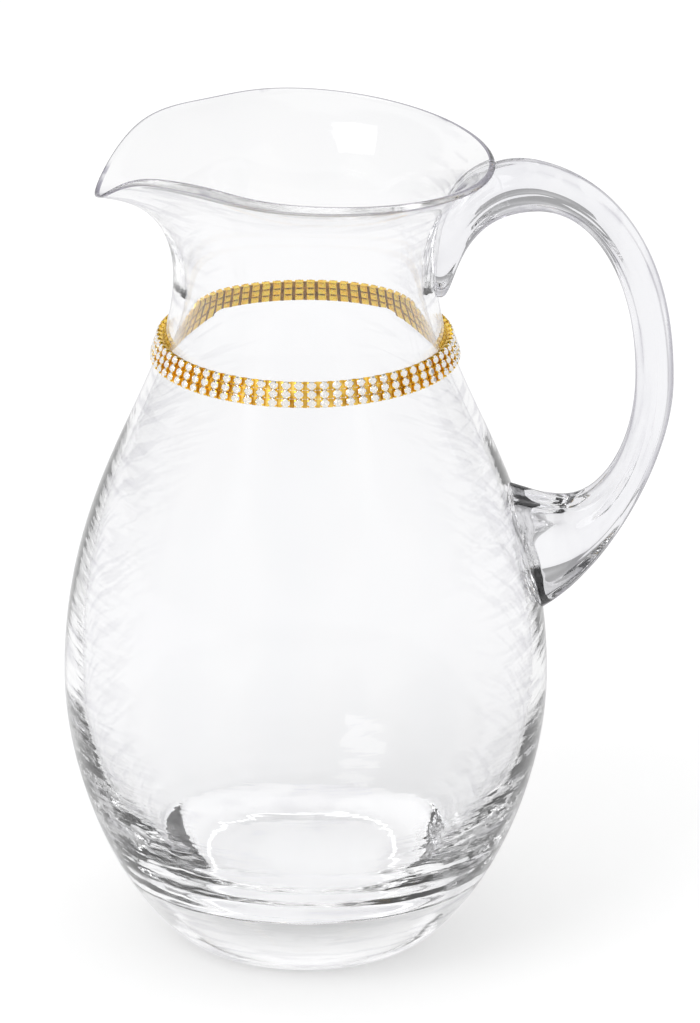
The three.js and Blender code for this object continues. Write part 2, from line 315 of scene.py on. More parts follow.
def lathe(profile, starts_on_axis, ends_on_axis):
    """Rings round Z through a profile of (radius, height), closed where it meets the axis."""
    rings = profile[int(starts_on_axis):len(profile) - int(ends_on_axis)]
    turn = np.linspace(0, 2 * math.pi, AROUND_BODY, endpoint=False)
    vertices = [(r * c, r * s, h) for r, h in rings for c, s in zip(np.cos(turn), np.sin(turn))]
    faces = ring_faces(len(rings), AROUND_BODY)
    last = (len(rings) - 1) * AROUND_BODY
    if starts_on_axis:
        vertices.append((0, 0, profile[0][1]))
        middle = len(vertices) - 1
        faces += [(middle, (k + 1) % AROUND_BODY, k) for k in range(AROUND_BODY)]
    if ends_on_axis:
        vertices.append((0, 0, profile[-1][1]))
        middle = len(vertices) - 1
        faces += [(middle, last + k, last + (k + 1) % AROUND_BODY) for k in range(AROUND_BODY)]
    return np.array(vertices), faces


def pull_lip(vertices):
    """Draws the spout out and down, pinches the rim beside it and lets it dip at the handle."""
    x, y, z = vertices.T
    radius = np.hypot(x, y)
    share = np.clip((z - NECK_HEIGHT) / FLARE_HEIGHT, 0, 1) ** 2
    from_handle = np.abs(np.arctan2(y, x))
    from_spout = math.pi - from_handle
    spout = np.exp(-((from_spout / SPOUT_HALF_ANGLE) ** 2))
    pinch = np.exp(-(((from_spout - PINCH_ANGLE) / PINCH_SPREAD) ** 2))
    dip = ((1 + np.cos(from_handle)) / 2) ** 2
    out = share * (SPOUT_REACH * spout - PINCH_DEPTH * pinch)
    down = share * (SPOUT_DROP * spout + HANDLE_SIDE_DIP * dip)
    grow = np.where(radius > NEAR_AXIS, 1 + out / np.maximum(radius, NEAR_AXIS), 1)
    return np.column_stack([x * grow, y * grow, z - down])


def blow_waves(vertices):
    """Moves the inside of the wall in and out by the small unevenness of blown glass."""
    x, y, z = vertices.T
    radius = np.hypot(x, y)
    turn = np.arctan2(y, x)
    depth = sum(d * np.sin(n * turn + phase + lean * z) for n, d, phase, lean in WAVES)
    fade = np.clip((NECK_HEIGHT - z) / SHOULDER_HEIGHT, 0, 1) * np.clip(radius / FLOOR_RADIUS, 0, 1) ** 2
    low = np.clip((RINGS_TOP - z) / (RINGS_TOP - FLOOR_THICKNESS), 0, 1) * (z > FLOOR_THICKNESS)
    rings = RINGS_DEPTH * low * np.sin(2 * math.pi * z / RINGS_PITCH + RINGS_TURNS * turn)
    grow = 1 + (fade * depth + rings) / np.maximum(radius, NEAR_AXIS)
    return np.column_stack([x * grow, y * grow, z])


# Handle


def rail(stations, runs):
    """Curved spans through stations of (place, angle), with two runs for each span."""
    spans = []
    for i in range(len(stations) - 1):
        (start, leave), (end, arrive) = stations[i], stations[i + 1]
        spans.append((start, along(start, leave, runs[2 * i]), along(end, arrive, -runs[2 * i + 1]), end))
    return spans


def on_belly(rise, gap):
    """A place beside the wall: a rise above the belly's widest height and a gap off the glass."""
    height = BELLY_HEIGHT + rise
    return point(outside_radius(height) + gap, height)


def handle_rails():
    """The handle's outer and inner outlines, from its root at the rim down to its pad on the belly."""
    handle_side_rim = RIM_HEIGHT - HANDLE_SIDE_DIP
    crown = point(RIM_RADIUS + CROWN_OUT, handle_side_rim + CROWN_RISE)
    side = point(BELLY_RADIUS + HANDLE_REACH, BELLY_HEIGHT + HANDLE_SIDE_RISE)
    outer = [
        (point(NECK_RADIUS, handle_side_rim - ROOT_DROP), ROOT_ANGLE),
        (crown, CROWN_ANGLE),
        (side, -UP),
        (on_belly(ELBOW_OUTER_RISE, ELBOW_OUTER_GAP), ELBOW_ANGLE - math.pi),
        (on_belly(PAD_FOOT_RISE, -PAD_DEPTH), PAD_FOOT_ANGLE - math.pi),
    ]
    inner = [
        (point(NECK_RADIUS - TONGUE_DEPTH, NECK_HEIGHT - TONGUE_DROP), TONGUE_ANGLE),
        (point(crown[0], crown[1] - CROWN_THICKNESS), 0),
        (point(side[0] - HANDLE_THICKNESS, side[1]), -UP),
        (on_belly(ELBOW_INNER_RISE, ELBOW_INNER_GAP), math.pi),
        (on_belly(PAD_TOP_RISE, -PAD_DEPTH), PAD_TOP_ANGLE - math.pi),
    ]
    return rail(outer, OUTER_RUNS), rail(inner, INNER_RUNS)


def draw_hollows(turn, way):
    """How far the drawn bar is hollowed at each turn round it, at a way along its stations."""
    return sum(d * (1 + np.sin(n * turn + phase + lean * way)) for n, d, phase, lean in DRAW_MARKS)


def handle_mesh():
    """A loft through oval rings between the two rails, with a fan over each end."""
    outer, inner = handle_rails()
    turn = np.linspace(0, 2 * math.pi, AROUND_HANDLE, endpoint=False)
    share = ((1 + np.cos(turn)) / 2)[:, None]
    rings = []
    for i in range(len(outer)):
        far = bezier(*outer[i], HANDLE_RINGS)
        near = bezier(*inner[i], HANDLE_RINGS)
        for k in range(1 if i else 0, HANDLE_RINGS + 1):
            t = k / HANDLE_RINGS
            half = HALF_WIDTHS[i] + (HALF_WIDTHS[i + 1] - HALF_WIDTHS[i]) * t * t * (3 - 2 * t)
            draw = 1 - draw_hollows(turn, i + t)[:, None]
            middle = (near[k] + far[k]) / 2
            flat = middle + (near[k] + (far[k] - near[k]) * share - middle) * draw
            rings.append(np.column_stack([flat[:, 0], half * np.sin(turn) * draw[:, 0], flat[:, 1]]))
    faces = ring_faces(len(rings), AROUND_HANDLE, flip=True)
    last = (len(rings) - 1) * AROUND_HANDLE
    faces.append(tuple(range(AROUND_HANDLE)))
    faces.append(tuple(last + k for k in reversed(range(AROUND_HANDLE))))
    return np.vstack(rings), faces


# Meshes and booleans

# Faces that a boolean keeps apart, and the material slots of the finished body and handle
SKIN, RIM, HANDLE, LID = range(4)
NO_MATERIALS = [None] * 4
CLEAR, WELD, BEAD = range(3)


def object_from(name, vertices, faces, face_slots, materials):
    mesh = bpy.data.meshes.new(name)
    mesh.from_pydata([tuple(v) for v in vertices], [], [tuple(f) for f in faces])
    for material in materials:
        mesh.materials.append(material)
    mesh.polygons.foreach_set("material_index", np.array(face_slots, np.int32))
    mesh.update()
    piece = bpy.data.objects.new(name, mesh)
    bpy.context.scene.collection.objects.link(piece)
    return piece


def difference(target, cutter):
    """The target less the cutter, as vertices, faces and each face's slot."""
    cut = target.modifiers.new("cut", "BOOLEAN")
    cut.operation = "DIFFERENCE"
    cut.solver = "MANIFOLD"
    cut.object = cutter
    bpy.context.view_layer.update()
    evaluated = target.evaluated_get(bpy.context.evaluated_depsgraph_get())
    mesh = evaluated.to_mesh()
    vertices = np.array([v.co for v in mesh.vertices])
    faces = [tuple(p.vertices) for p in mesh.polygons]
    slots = [p.material_index for p in mesh.polygons]
    evaluated.to_mesh_clear()
    target.modifiers.remove(cut)
    return vertices, faces, slots


def chosen(shape, kept_slots, new_slot, flip=False):
    """The faces of a shape that have one of some slots, moved to a new slot."""
    vertices, faces, slots = shape
    kept = [f[::-1] if flip else f for f, s in zip(faces, slots) if s in kept_slots]
    return vertices, kept, [new_slot] * len(kept)


def joined(parts):
    """Lists of (vertices, faces, slot of each face) put into one."""
    vertices, faces, slots = [], [], []
    count = 0
    for part_vertices, part_faces, part_slots in parts:
        vertices.append(part_vertices)
        faces += [tuple(i + count for i in face) for face in part_faces]
        slots += part_slots
        count += len(part_vertices)
    return np.vstack(vertices), faces, slots


def sew(piece):
    """Makes vertices that coincide one, and drops those that carry no face."""
    shell = bmesh.new()
    shell.from_mesh(piece.data)
    bmesh.ops.delete(shell, geom=[v for v in shell.verts if not v.link_faces], context="VERTS")
    bmesh.ops.remove_doubles(shell, verts=shell.verts, dist=SEAM * MM)
    shell.to_mesh(piece.data)
    shell.free()


def add_piece(name, shape, materials, nodes, smooth):
    """A shape in millimetres made a visible piece, which stands in for some nodes."""
    vertices, faces, slots = shape
    piece = object_from(name, vertices * MM, faces, slots, materials)
    sew(piece)
    piece.data.polygons.foreach_set("use_smooth", [smooth] * len(piece.data.polygons))
    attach(piece, "root")
    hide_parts(*nodes)
    return piece


def sharpen_between_slots(piece):
    """Keeps a crisp edge where the glass meets the weld, so neither bends the other's shading."""
    mesh = piece.data
    slots = {}
    for polygon in mesh.polygons:
        for key in polygon.edge_keys:
            slots.setdefault(key, set()).add(polygon.material_index)
    for edge in mesh.edges:
        edge.use_edge_sharp = len(slots.get(tuple(sorted(edge.vertices)), ())) > 1


def build_glass(glass, rim_glass, bar_glass, weld):
    skin = skin_profile()
    lid_middle = point(0, rim_over[1])
    skin_vertices, skin_faces = lathe(np.vstack([skin, lid_middle]), True, True)
    rim_ends = (len(skin) - 2) * AROUND_BODY
    skin_slots = [SKIN] * len(skin_faces)
    skin_slots[rim_ends - BEAD_STEPS * AROUND_BODY:rim_ends] = [RIM] * (BEAD_STEPS * AROUND_BODY)
    skin_slots[-AROUND_BODY:] = [LID] * AROUND_BODY
    envelope = object_from("envelope", pull_lip(skin_vertices), skin_faces, skin_slots, NO_MATERIALS)
    bar_vertices, bar_faces = handle_mesh()
    bar = object_from("bar", bar_vertices, bar_faces, [HANDLE] * len(bar_faces), NO_MATERIALS)
    outside = difference(envelope, bar)
    applied = difference(bar, envelope)
    bpy.data.objects.remove(envelope)
    bpy.data.objects.remove(bar)

    inside_vertices, inside_faces = lathe(inside_profile(), False, True)
    inside_vertices = pull_lip(blow_waves(inside_vertices))
    vessel = joined([
        chosen(outside, [SKIN], CLEAR),
        chosen(outside, [RIM], BEAD),
        (inside_vertices, inside_faces, [CLEAR] * len(inside_faces)),
        chosen(applied, [SKIN, RIM], WELD, flip=True),
    ])
    body_glass = [glass, weld, rim_glass]
    add_piece("pitcher_body_glass", vessel, body_glass, ["pitcher_body"], True)
    grip = joined([chosen(applied, [HANDLE], CLEAR), chosen(applied, [SKIN, RIM], WELD)])
    handle = add_piece("handle_glass", grip, [bar_glass, weld], ["handle"], True)
    sharpen_between_slots(handle)


# Materials

# Noises are a scale, a stretch along each axis and a detail, in the object's own metres
EVENLY = (1, 1, 1)
UPRIGHT = (1, 1, 0.12)
LEVEL = (0.12, 0.12, 1)

# Painted shade where the glass is seen along its surface: stops of how much the edge darkens, for the wall,
# the solid bar and the rim
WALL_EDGE = [(0.3, 0.0), (0.55, 0.2), (0.75, 0.45), (0.92, 0.8), (1.0, 1.0)]
BAR_EDGE = [(0.05, 0.02), (0.3, 0.16), (0.6, 0.5), (0.85, 0.9), (1.0, 1.0)]
RIM_EDGE = [(0.1, 0.5), (0.4, 0.8), (1.0, 1.0)]
PAINTED_EDGE_SHADE_TINT = (0.2, 0.185, 0.27)
WALL_TINT = [(0.972, 0.974, 0.982), (0.992, 0.992, 0.996)]
BAR_TINT = [(0.87, 0.87, 0.9), (0.965, 0.965, 0.98)]
GLASS_INDEX = 1.52
SHEEN = (0.5, 0.5, 0.5)

# The weld inside the glass: its colours, and how much its faint milky trace covers
WELD_DARK = (0.75, 0.75, 0.78)
WELD_PALE = (0.98, 0.98, 1.0)
WELD_TRACE = 0.06
WELD_NOISE = (130, EVENLY, 3)

# The painted dark line at the very edge, and the streaks that break the painted edge shade up
PAINTED_EDGE_LINE_TINT = (0.1, 0.09, 0.13)
WALL_LINE = [(0.84, 0.0), (0.94, 1.0)]
RIM_LINE = [(0.3, 0.0), (0.6, 1.0)]
BAR_LINE = [(0.5, 0.0), (0.8, 1.0)]
FINE_STREAKS = [(0.5, 0.04), (0.6, 1.0)]
RIM_DASHES = [(0.58, 0.04), (0.64, 1.0)]
WALL_STREAKS = ((420, LEVEL, 4), FINE_STREAKS)
RIM_STREAKS = ((45, EVENLY, 4), RIM_DASHES)
BAR_STREAKS = ((150, (1, 1, 0.2), 4), FINE_STREAKS)

# Relief of the glass: the mottle of the heel, the heights and radii it fades between, and the cords' share
MOTTLE_DEPTH = 0.5
MOTTLE_NOISE = (65, EVENLY, 1)
MOTTLE_TOP = 70
MOTTLE_FOOT = 35
MOTTLE_INNER = 46
MOTTLE_OUTER = 54
CORD_NOISE = (45, UPRIGHT, 3)
CORD_SHARE = 0.03

# Fine rings that blowing left round the wall: share of the mottle's depth, and the heights they fade between
RING_SHARE = 0.08
RING_NOISE = (420, LEVEL, 2)
RING_TOP = 178
RING_FULL = 150

# Stones: how much of the light the foil sends straight back, and the colours of stone and foil
STONE_INDEX = 1.56
STONE_FIRE = 0.7
STONE_NOISE = (900, EVENLY, 2)
STONE_TINT = [(0.97, 0.975, 0.99), (1, 1, 1)]
FOIL_NOISE = (1500, EVENLY, 2)
FOIL_TINT = [(1.0, 0.94, 0.8), (1.0, 0.98, 0.93)]
FOIL_ROUGHNESS = 0.08

# Gilding: bright on the stamped cups with their uneven faces, darker on the straps and darkest on their inner
# faces, as painted shade in the gaps
GILT_NOISE = (700, EVENLY, 4)
GILT_TINT = [(0.85, 0.44, 0.015), (1.0, 0.76, 0.1)]
GILT_ROUGHNESS = [(0.15, 0.15, 0.15), (0.35, 0.35, 0.35)]
GILT_DENTS = (900, EVENLY, 2)
GILT_DENT_DEPTH = 0.06
STRAP_NOISE = (260, EVENLY, 2)
STRAP_ROUGHNESS = 0.4
SHADED_BRONZE_TINT = [(0.4, 0.17, 0.01), (1.0, 0.72, 0.16)]
GAP_SHADE_TINT = [(0.1, 0.035, 0.003), (0.42, 0.2, 0.015)]

# Where along a noise a colour starts and ends its change
SPREAD_START = 0.3
SPREAD_END = 0.7

# Sockets of a mix node, whose names repeat: the factor, the two values, the two colours and the mixed colour
MIX_FACTOR = 0
MIX_VALUES = (2, 3)
MIX_COLOURS = (6, 7)
MIXED_COLOUR = 2


def new_material(name):
    material = bpy.data.materials.new(name)
    material.use_nodes = True
    return material, material.node_tree, material.node_tree.nodes["Principled BSDF"]


def node(tree, kind, **values):
    made = tree.nodes.new(kind)
    for key, value in values.items():
        setattr(made, key, value)
    return made


def noise(tree, scale, stretch, detail):
    """Noise in the object's own coordinates, drawn out by a stretch along each axis."""
    where = node(tree, "ShaderNodeTexCoord")
    mapping = node(tree, "ShaderNodeMapping")
    mapping.inputs["Scale"].default_value = stretch
    texture = node(tree, "ShaderNodeTexNoise")
    texture.inputs["Scale"].default_value = scale
    texture.inputs["Detail"].default_value = detail
    tree.links.new(where.outputs["Object"], mapping.inputs["Vector"])
    tree.links.new(mapping.outputs["Vector"], texture.inputs["Vector"])
    return texture.outputs["Fac"]


def spread(tree, factor, low, high):
    """A colour between low and high, by a factor."""
    ramp = node(tree, "ShaderNodeValToRGB")
    ramp.color_ramp.elements[0].position = SPREAD_START
    ramp.color_ramp.elements[1].position = SPREAD_END
    ramp.color_ramp.elements[0].color = (*low, 1)
    ramp.color_ramp.elements[1].color = (*high, 1)
    tree.links.new(factor, ramp.inputs["Fac"])
    return ramp.outputs["Color"]


def bump(tree, height, depth):
    """The relief of a height, with its full depth in millimetres."""
    made = node(tree, "ShaderNodeBump")
    made.inputs["Strength"].default_value = 1
    made.inputs["Distance"].default_value = depth * MM
    tree.links.new(height, made.inputs["Height"])
    return made.outputs["Normal"]


def stops(tree, factor, places):
    """A grey between places along a factor, each place with its value."""
    made = node(tree, "ShaderNodeValToRGB")
    elements = made.color_ramp.elements
    while len(elements) < len(places):
        elements.new(1)
    for element, (position, value) in zip(elements, places):
        element.position = position
        element.color = (value, value, value, 1)
    tree.links.new(factor, made.inputs["Fac"])
    return made.outputs["Color"]


def math_node(tree, operation, first, second):
    """Two values, each a socket or a number, put through one operation."""
    made = node(tree, "ShaderNodeMath", operation=operation)
    for socket, value in zip(made.inputs, (first, second)):
        if isinstance(value, (int, float)):
            socket.default_value = value
        else:
            tree.links.new(value, socket)
    return made.outputs[0]


def between(tree, value, start, end):
    """Zero up to a start and one past an end, with a smooth step, in millimetres."""
    made = node(tree, "ShaderNodeMapRange", interpolation_type="SMOOTHSTEP")
    made.inputs["From Min"].default_value = start * MM
    made.inputs["From Max"].default_value = end * MM
    tree.links.new(value, made.inputs["Value"])
    return made.outputs["Result"]


def place_of(tree):
    """The surface's own X, Y and Z."""
    parts = node(tree, "ShaderNodeSeparateXYZ")
    tree.links.new(node(tree, "ShaderNodeTexCoord").outputs["Object"], parts.inputs[0])
    return parts.outputs["X"], parts.outputs["Y"], parts.outputs["Z"]


def radius_of(tree):
    """The distance from the pitcher's axis."""
    x, y, _ = place_of(tree)
    squares = math_node(tree, "ADD", math_node(tree, "POWER", x, 2), math_node(tree, "POWER", y, 2))
    return math_node(tree, "POWER", squares, 0.5)


def heel_mask(tree):
    """One on the rounded heel, zero up the wall and on the flat floor and foot."""
    low = between(tree, place_of(tree)[2], MOTTLE_TOP, MOTTLE_FOOT)
    return math_node(tree, "MULTIPLY", low, between(tree, radius_of(tree), MOTTLE_INNER, MOTTLE_OUTER))


def deepened(tree, colour, factor, tint):
    """A colour turned towards a tint, by a factor."""
    made = node(tree, "ShaderNodeMix", data_type="RGBA")
    first, second = MIX_COLOURS
    made.inputs[second].default_value = (*tint, 1)
    tree.links.new(factor, made.inputs[MIX_FACTOR])
    tree.links.new(colour, made.inputs[first])
    return made.outputs[MIXED_COLOUR]


def glass_material(name, tints, edge_stops, line_stops, streak_values, ring_share):
    """Clear glass with painted shade at its edges, broken into streaks, and a painted dark line at the very
    edge.
    """
    material, tree, shader = new_material(name)
    shader.inputs["Transmission Weight"].default_value = 1
    shader.inputs["IOR"].default_value = GLASS_INDEX
    shader.inputs["Roughness"].default_value = 0
    shader.inputs["Specular Tint"].default_value = (*SHEEN, 1)
    cords = noise(tree, *CORD_NOISE)
    tint = spread(tree, cords, *tints)
    facing = node(tree, "ShaderNodeLayerWeight").outputs["Facing"]
    streak_noise, streak_stops = streak_values
    streaks = stops(tree, noise(tree, *streak_noise), streak_stops)
    # Painted shade: the colour darkens towards the edges in streaks, with a painted dark line at the very
    # edge
    edge_shade_amount = math_node(tree, "MULTIPLY", stops(tree, facing, edge_stops), streaks)
    edge_shaded = deepened(tree, tint, edge_shade_amount, PAINTED_EDGE_SHADE_TINT)
    lined = deepened(tree, edge_shaded, stops(tree, facing, line_stops), PAINTED_EDGE_LINE_TINT)
    tree.links.new(lined, shader.inputs["Base Color"])
    mottle = math_node(tree, "MULTIPLY", noise(tree, *MOTTLE_NOISE), heel_mask(tree))
    relief = math_node(tree, "ADD", math_node(tree, "MULTIPLY", cords, CORD_SHARE), mottle)
    if ring_share:
        below = between(tree, place_of(tree)[2], RING_TOP, RING_FULL)
        depth = math_node(tree, "MULTIPLY", below, ring_share)
        rings = math_node(tree, "MULTIPLY", noise(tree, *RING_NOISE), depth)
        relief = math_node(tree, "ADD", relief, rings)
    tree.links.new(bump(tree, relief, MOTTLE_DEPTH), shader.inputs["Normal"])
    return material


def weld_material():
    """The join inside the glass, where handle and body have flowed together: a faint milky trace."""
    material, tree, shader = new_material("weld")
    tint = spread(tree, noise(tree, *WELD_NOISE), WELD_DARK, WELD_PALE)
    tree.links.new(tint, shader.inputs["Base Color"])
    shader.inputs["Roughness"].default_value = 1
    shader.inputs["Alpha"].default_value = WELD_TRACE
    return material


def stone_material():
    material, tree, shader = new_material("stone")
    shader.inputs["Transmission Weight"].default_value = 1
    shader.inputs["Metallic"].default_value = STONE_FIRE
    shader.inputs["IOR"].default_value = STONE_INDEX
    shader.inputs["Roughness"].default_value = 0
    tint = spread(tree, noise(tree, *STONE_NOISE), *STONE_TINT)
    tree.links.new(tint, shader.inputs["Base Color"])
    return material


def foil_material():
    material, tree, shader = new_material("foil")
    shader.inputs["Metallic"].default_value = 1
    shader.inputs["Roughness"].default_value = FOIL_ROUGHNESS
    tint = spread(tree, noise(tree, *FOIL_NOISE), *FOIL_TINT)
    tree.links.new(tint, shader.inputs["Base Color"])
    return material


def gilt_material():
    material, tree, shader = new_material("gilt")
    shader.inputs["Metallic"].default_value = 1
    patches = noise(tree, *GILT_NOISE)
    tint = spread(tree, patches, *GILT_TINT)
    tree.links.new(tint, shader.inputs["Base Color"])
    rough = spread(tree, patches, *GILT_ROUGHNESS)
    tree.links.new(rough, shader.inputs["Roughness"])
    dented = bump(tree, noise(tree, *GILT_DENTS), GILT_DENT_DEPTH)
    tree.links.new(dented, shader.inputs["Normal"])
    return material


def strap_material(name, tints):
    """The straps in the gaps between the cups, gilt darkened as painted shade for the gaps."""
    material, tree, shader = new_material(name)
    shader.inputs["Metallic"].default_value = 1
    shader.inputs["Roughness"].default_value = STRAP_ROUGHNESS
    tint = spread(tree, noise(tree, *STRAP_NOISE), *tints)
    tree.links.new(tint, shader.inputs["Base Color"])
    return material


# Band


def box_mesh(low, high):
    """A box whose inner face, towards the axis, has a slot of its own, for the darkest painted shade of the
    gaps.
    """
    corners = [(x, y, z) for x in (low[0], high[0]) for y in (low[1], high[1]) for z in (low[2], high[2])]
    faces = [(0, 1, 3, 2), (4, 6, 7, 5), (0, 4, 5, 1), (2, 3, 7, 6), (0, 2, 6, 4), (1, 5, 7, 3)]
    return np.array(corners, float), faces, [1, 0, 0, 0, 0, 0]


def rounded_square(half_y, half_z, rounding):
    """Points round a square with round corners, in the (y, z) plane."""
    ring = []
    for corner in range(4):
        start = corner * UP
        sign_y = 1 if corner in (0, 3) else -1
        sign_z = 1 if corner in (0, 1) else -1
        for i in range(CUP_CORNER_POINTS):
            angle = start + UP * i / (CUP_CORNER_POINTS - 1)
            ring.append((sign_y * (half_y - rounding) + rounding * math.cos(angle),
                         sign_z * (half_z - rounding) + rounding * math.sin(angle)))
    return np.array(ring)


def cup_mesh():
    """An open square cup with a dished back: up the outside, over its edge and down to the floor inside."""
    rings = []
    for rise, inset in CUP_SECTION:
        flat = rounded_square(CUP_WIDTH / 2 - inset, CUP_TALL / 2 - inset, CUP_ROUNDING)
        rings.append(np.column_stack([np.full(len(flat), CLEARANCE + rise), flat]))
    count = len(rings[0])
    faces = ring_faces(len(rings), count)
    faces.append(tuple(reversed(range(count))))
    faces.append(tuple((len(rings) - 1) * count + k for k in range(count)))
    return np.vstack(rings), faces, [0] * len(faces)


def prong_mesh(corner):
    """A claw at a cup's corner: up the wall and folded in over the stone's edge."""
    reach = CLEARANCE + CUP_HEIGHT
    half = PRONG_WIDTH / 2
    sign_y, sign_z = ((1, 1), (-1, 1), (-1, -1), (1, -1))[corner]
    outward = np.array([sign_y, sign_z]) / math.sqrt(2)
    aside = np.array([-outward[1], outward[0]])
    foot = np.array([sign_y * (CUP_WIDTH / 2), sign_z * (CUP_TALL / 2)]) - outward * PRONG_INSET
    points = []
    for rise, out, width in PRONG_PATH:
        middle = foot + outward * out
        for side_out, side_along in PRONG_SECTION:
            lift = PRONG_LIFT * side_out if out < 0 else 0
            push = side_out if out > PRONG_FOLD else 0
            place = middle + outward * push + aside * side_along * half * width
            points.append((reach + rise + lift, *place))
    count = len(PRONG_SECTION)
    faces = ring_faces(len(PRONG_PATH), count)
    faces.append(tuple(reversed(range(count))))
    faces.append(tuple(range(len(points) - count, len(points))))
    return np.array(points), faces, [0] * len(faces)


def stone_mesh():
    """A round stone cut with a table, a crown of kites and triangles, and a pavilion to a point."""
    count = STONE_FACETS
    girdle = CLEARANCE + STONE_GIRDLE

    def ring(height, radius, number, offset):
        turn = 2 * math.pi * (np.arange(number) + offset) / number
        across = STONE_WIDENING * radius * np.cos(turn)
        return np.column_stack([np.full(number, height), across, radius * np.sin(turn)])

    table = ring(girdle + STONE_CROWN, STONE_TABLE, count, 0)
    shoulder_reach = STONE_TABLE + STONE_SHOULDER_REACH * (STONE_RADIUS - STONE_TABLE)
    shoulder = ring(girdle + STONE_SHOULDER_RISE * STONE_CROWN, shoulder_reach, count, 0.5)
    upper = ring(girdle + GIRDLE_RISE, STONE_RADIUS, 2 * count, 0)
    lower = ring(girdle - GIRDLE_DROP, STONE_RADIUS, 2 * count, 0)
    seat = ring(girdle - SEAT_DROP, STONE_SEAT, 2 * count, 0)
    point_at = np.array([[girdle - STONE_PAVILION, 0, 0]])
    vertices = np.vstack([table, shoulder, upper, lower, seat, point_at])
    at_shoulder, at_upper, at_lower, at_seat, culet = (count * i for i in (1, 2, 4, 6, 8))
    crown, back = [tuple(range(count))], []
    for k in range(count):
        n = (k + 1) % count
        crown.append((k, at_shoulder + k, n))
        crown.append((k, at_shoulder + (k - 1) % count, at_upper + 2 * k))
        crown.append((k, at_upper + 2 * k, at_shoulder + k))
        crown.append((at_shoulder + k, at_upper + 2 * k, at_upper + 2 * k + 1))
        crown.append((at_shoulder + k, at_upper + 2 * k + 1, at_upper + 2 * n))
    for k in range(2 * count):
        n = (k + 1) % (2 * count)
        crown.append((at_upper + k, at_lower + k, at_lower + n, at_upper + n))
        back.append((at_lower + k, at_seat + k, at_seat + n, at_lower + n))
        back.append((at_seat + k, culet, at_seat + n))
    return vertices, crown + back, [0] * len(crown) + [1] * len(back)


def place_columns(parts, rows=BAND_ROWS):
    """Repeats a column's parts round the neck, on its slope."""
    band_height = NECK_HEIGHT - BAND_DROP
    band_radius = outside_radius(band_height)
    drop = outside_radius(band_height - ROW_PITCH) - outside_radius(band_height + ROW_PITCH)
    slope = math.atan2(drop, 2 * ROW_PITCH)
    lean = Matrix.Translation((band_radius, 0, band_height)) @ Matrix.Rotation(-slope, 4, "Y")
    copies = []
    for column in range(COLUMNS):
        turn = np.array(Matrix.Rotation(2 * math.pi * column / COLUMNS, 4, "Z") @ lean)
        for row in range(rows):
            lift = np.array([0, 0, (row - (BAND_ROWS - 1) / 2) * ROW_PITCH])
            for vertices, faces, slots in parts:
                copies.append(((vertices + lift) @ turn[:3, :3].T + turn[:3, 3], faces, slots))
    return joined(copies)


def build_band(gilt, shaded_bronze, painted_gap_shade, stone, foil):
    links = sorted(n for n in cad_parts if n.startswith("band_link"))
    pitch = 2 * math.pi * outside_radius(NECK_HEIGHT - BAND_DROP) / COLUMNS
    back = CLEARANCE + STRAP_THICKNESS / 2
    front = back + STRAP_THICKNESS
    side = CUP_WIDTH / 2 - STRAP_OVERLAP
    top = CUP_TALL / 2 - STRAP_OVERLAP
    strap = box_mesh((back, side, -STRAP_WIDTH / 2), (front, pitch - side, STRAP_WIDTH / 2))
    riser = box_mesh((back, -RISER_WIDTH / 2, top), (front, RISER_WIDTH / 2, ROW_PITCH - top))
    setting = [cup_mesh(), *[prong_mesh(corner) for corner in range(4)]]
    add_piece("band_settings", place_columns(setting), [gilt], links, False)
    # Painted shade in the gaps: darker gilt on the straps and risers, darkest on their inner faces
    metals = [shaded_bronze, painted_gap_shade]
    add_piece("band_straps", place_columns([strap]), metals, [], False)
    add_piece("band_risers", place_columns([riser], BAND_ROWS - 1), metals, [], False)
    add_piece("band_stones", place_columns([stone_mesh()]), [stone, foil], [], False)


# Stage

# The floor: half its width in metres, its grey, and how much it glows for the camera and for the glass
FLOOR_HALF = 4
FLOOR_GREY = (0.62, 0.62, 0.62)
FLOOR_GLOW = 0.5
GLASS_GLOW = 0.41

# Painted pool of light where clear glass lets light through to the floor: its level, and the radii between
# which it fades
PAINTED_POOL_GLOW = 0.37
UNDER_FULL = 40
UNDER_END = 75

# Rays: how often one bounces or passes the weld's trace at most, and how far the camera sees, in metres
BOUNCES = 48
CLEAR_BOUNCES = 16
CLIP_END = 20

# The lamp, in metres and watts
KEY_PLACE = (-0.9, -1.0, 1.4)
KEY_AIM = (0, 0, 0.12)
KEY_SIZE = 0.9
KEY_POWER = 9

# How bright the dome is for the light that falls on the floor and the band
DOME_LEVEL = 0.85

# The room that the glass shows: how bright it is at the horizon, and the sine of the height where it is full
HORIZON_LEVEL = 0.4
HORIZON_TOP = 0.6

# Dark cards high up round the glass, which only it shows: direction, half-angle, softness, darkness
LEFT_CARD = ((-1, -0.1, 0.95), 32, 8, 0.95)
RIGHT_CARD = ((1, -0.1, 0.95), 32, 8, 0.95)
FRONT_CARD = ((0, -1, 0.95), 32, 8, 0.95)
CARDS = [LEFT_CARD, RIGHT_CARD, FRONT_CARD]


def build_floor():
    corners = [(x * FLOOR_HALF, y * FLOOR_HALF, 0) for x, y in ((-1, -1), (1, -1), (1, 1), (-1, 1))]
    floor = object_from("floor", np.array(corners), [(0, 1, 2, 3)], [0], [floor_material()])


def ray_kinds(tree):
    """Values that are one for rays from the camera, for mirrored rays and for rays through glass."""
    path = node(tree, "ShaderNodeLightPath")
    through = path.outputs["Is Transmission Ray"]
    mirrored = math_node(tree, "SUBTRACT", path.outputs["Is Glossy Ray"], through)
    return path.outputs["Is Camera Ray"], mirrored, through


